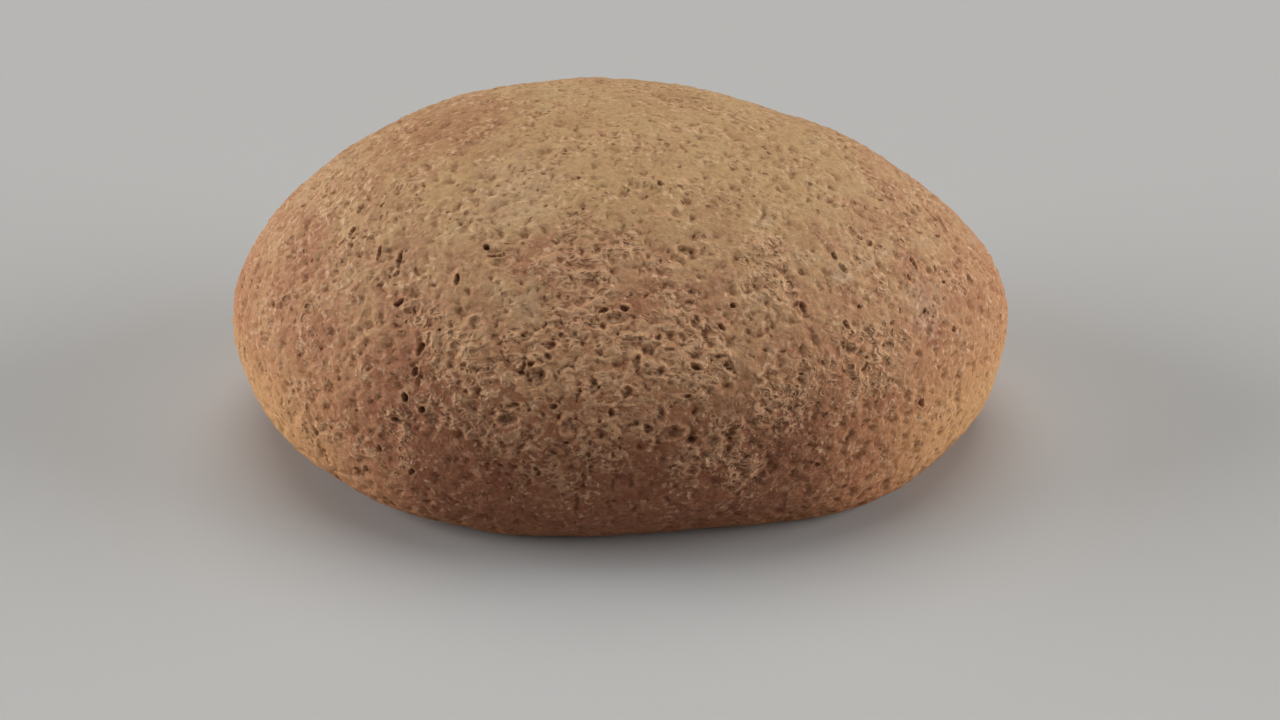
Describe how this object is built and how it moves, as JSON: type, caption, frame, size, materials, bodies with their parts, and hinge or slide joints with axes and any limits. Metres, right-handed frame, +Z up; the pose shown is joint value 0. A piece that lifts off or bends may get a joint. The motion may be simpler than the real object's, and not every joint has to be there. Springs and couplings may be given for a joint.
{
  "type": "wholemeal loaf",
  "caption": "Whole hearth-baked wholemeal loaf: a domed oval with a flat underside, tucked-in lower edge and rough, pitted brown crust.",
  "frame": {"origin": "on the flat underside, at the middle of the loaf's box", "axes": "+X along the loaf, away from its high blunt end; +Y across the loaf; +Z up through the crown"},
  "size_m": [0.26, 0.184, 0.113],
  "materials": {
    "crust": "matte"
  },
  "bodies": {
    "root": {"wholemeal_loaf": "crust"}
  },
  "joints": []
}
